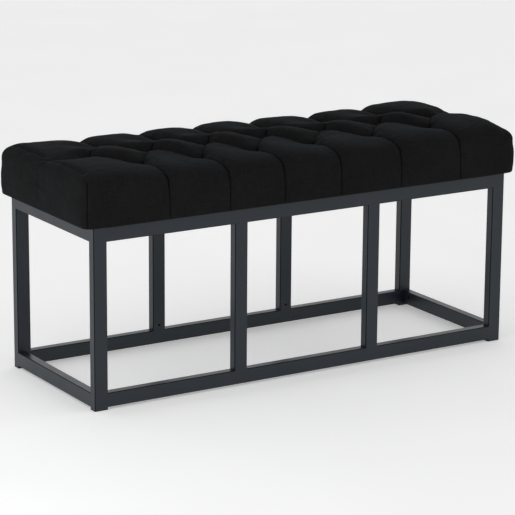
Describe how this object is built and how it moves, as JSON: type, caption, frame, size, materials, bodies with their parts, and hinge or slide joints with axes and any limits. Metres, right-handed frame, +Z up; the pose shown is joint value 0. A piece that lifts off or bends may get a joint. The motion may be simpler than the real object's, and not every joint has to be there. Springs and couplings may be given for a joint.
{
  "type": "entryway bench",
  "caption": "Low entryway bench: a slim welded frame of rectangular steel tube, open below for shoes, with a flat upholstered seat pad in deep diamond tufting.",
  "frame": {"origin": "on the floor under the middle of the bench", "axes": "+X along the bench, -Y out of its front, +Z up"},
  "size_m": [1.05, 0.38, 0.492],
  "materials": {
    "frame_steel": "matte",
    "glide_plastic": "matte",
    "zinc_steel": "satin",
    "plywood": "matte",
    "seat_foam": "matte",
    "wadding_fibre": "matte",
    "seat_fabric": "matte",
    "twine": "matte",
    "anchor_plastic": "matte",
    "dust_cloth": "matte"
  },
  "bodies": {
    "root": {"post_front_left": "frame_steel", "post_front_mid_left": "frame_steel", "post_front_mid_right": "frame_steel", "post_front_right": "frame_steel", "post_rear_left": "frame_steel", "post_rear_mid_left": "frame_steel", "post_rear_mid_right": "frame_steel", "post_rear_right": "frame_steel", "rail_bottom_front": "frame_steel", "rail_bottom_rear": "frame_steel", "rail_bottom_left": "frame_steel", "rail_bottom_right": "frame_steel", "rail_top_front": "frame_steel", "rail_top_rear": "frame_steel", "rail_top_left": "frame_steel", "rail_top_right": "frame_steel", "seat_tabs": "frame_steel", "glide_front_left": "glide_plastic", "glide_front_right": "glide_plastic", "glide_rear_left": "glide_plastic", "glide_rear_right": "glide_plastic", "seat_board": "plywood", "tee_nuts": "zinc_steel", "seat_screws": "zinc_steel", "screw_washers": "zinc_steel", "foam_core": "seat_foam", "wadding": "wadding_fibre", "seat_cover": "seat_fabric", "tuft_twines": "twine", "tuft_anchors": "anchor_plastic", "cover_staples": "zinc_steel", "dust_cover": "dust_cloth", "dust_cover_staples": "zinc_steel"}
  },
  "joints": []
}
